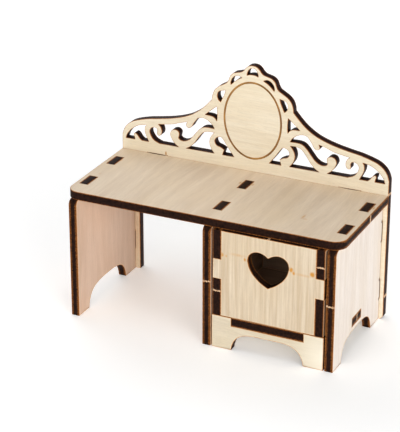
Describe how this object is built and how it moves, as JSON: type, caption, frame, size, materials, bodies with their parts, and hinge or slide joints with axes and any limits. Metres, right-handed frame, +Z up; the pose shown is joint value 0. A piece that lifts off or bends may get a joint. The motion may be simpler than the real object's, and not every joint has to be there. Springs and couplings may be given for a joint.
{
  "type": "miniature dressing table",
  "caption": "Dolls house dressing table in slotted plywood, with a pierced scroll crown, an engraved oval, a knee-hole and a cabinet whose drawer opens by a heart-shaped hole.",
  "frame": {"origin": "on the floor, under the middle of the table's box", "axes": "+X to the right as seen from the front, +Y from the front to the back panel, +Z up"},
  "size_m": [0.1016, 0.0464, 0.086],
  "materials": {
    "top_ply": "bare birch plywood with laser-burnt edges",
    "back_ply": "bare birch plywood with laser-burnt edges",
    "side_ply": "bare birch plywood with laser-burnt edges",
    "cabinet_ply": "bare birch plywood with laser-burnt edges",
    "drawer_ply": "bare birch plywood with laser-burnt edges"
  },
  "bodies": {
    "table": {"tabletop": "top_ply", "back_panel": "back_ply", "left_side": "side_ply", "divider": "side_ply", "right_side": "side_ply", "cabinet_floor": "cabinet_ply", "front_apron": "cabinet_ply"},
    "drawer": {"drawer_front": "drawer_ply", "drawer_left_side": "drawer_ply", "drawer_right_side": "drawer_ply", "drawer_back": "drawer_ply", "drawer_bottom": "drawer_ply"}
  },
  "joints": [
    {"name": "drawer_slide", "type": "slide", "parent": "table", "child": "drawer", "axis": [0, -1, 0], "range_m": [0, 0.03]}
  ]
}
